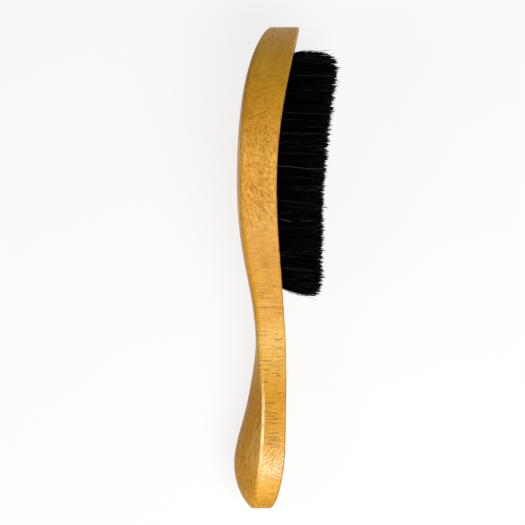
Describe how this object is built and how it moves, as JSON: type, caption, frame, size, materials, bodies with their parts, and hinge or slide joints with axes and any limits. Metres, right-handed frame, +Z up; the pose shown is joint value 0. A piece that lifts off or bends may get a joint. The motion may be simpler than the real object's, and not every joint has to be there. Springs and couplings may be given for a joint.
{
  "type": "fade brush",
  "caption": "Curved, handled hair brush for fades and waves: a one-piece lacquered beech body with an oval field of stiff black bristle set in its hollow face.",
  "frame": {"origin": "under the middle of the box of the brush as it lies on its side", "axes": "+X along the brush, from the handle end to the head; +Y out of the domed back, so the bristles point to -Y; +Z up, across the width of the brush"},
  "size_m": [0.2278, 0.049, 0.0604],
  "materials": {
    "lacquered_beech": "clear lacquer over golden beech, semi-gloss",
    "bristle": "stiff black natural bristle, slight sheen",
    "anchor_wire": "plain flat steel wire"
  },
  "bodies": {
    "root": {"wood_body": "lacquered_beech", "tuft_line_01": "bristle", "tuft_line_02": "bristle", "tuft_line_03": "bristle", "tuft_line_04": "bristle", "tuft_line_05": "bristle", "tuft_line_06": "bristle", "tuft_line_07": "bristle", "tuft_line_08": "bristle", "tuft_line_09": "bristle", "tuft_line_10": "bristle", "tuft_line_11": "bristle", "anchor_line_01": "anchor_wire", "anchor_line_02": "anchor_wire", "anchor_line_03": "anchor_wire", "anchor_line_04": "anchor_wire", "anchor_line_05": "anchor_wire", "anchor_line_06": "anchor_wire", "anchor_line_07": "anchor_wire", "anchor_line_08": "anchor_wire", "anchor_line_09": "anchor_wire", "anchor_line_10": "anchor_wire", "anchor_line_11": "anchor_wire"}
  },
  "joints": []
}
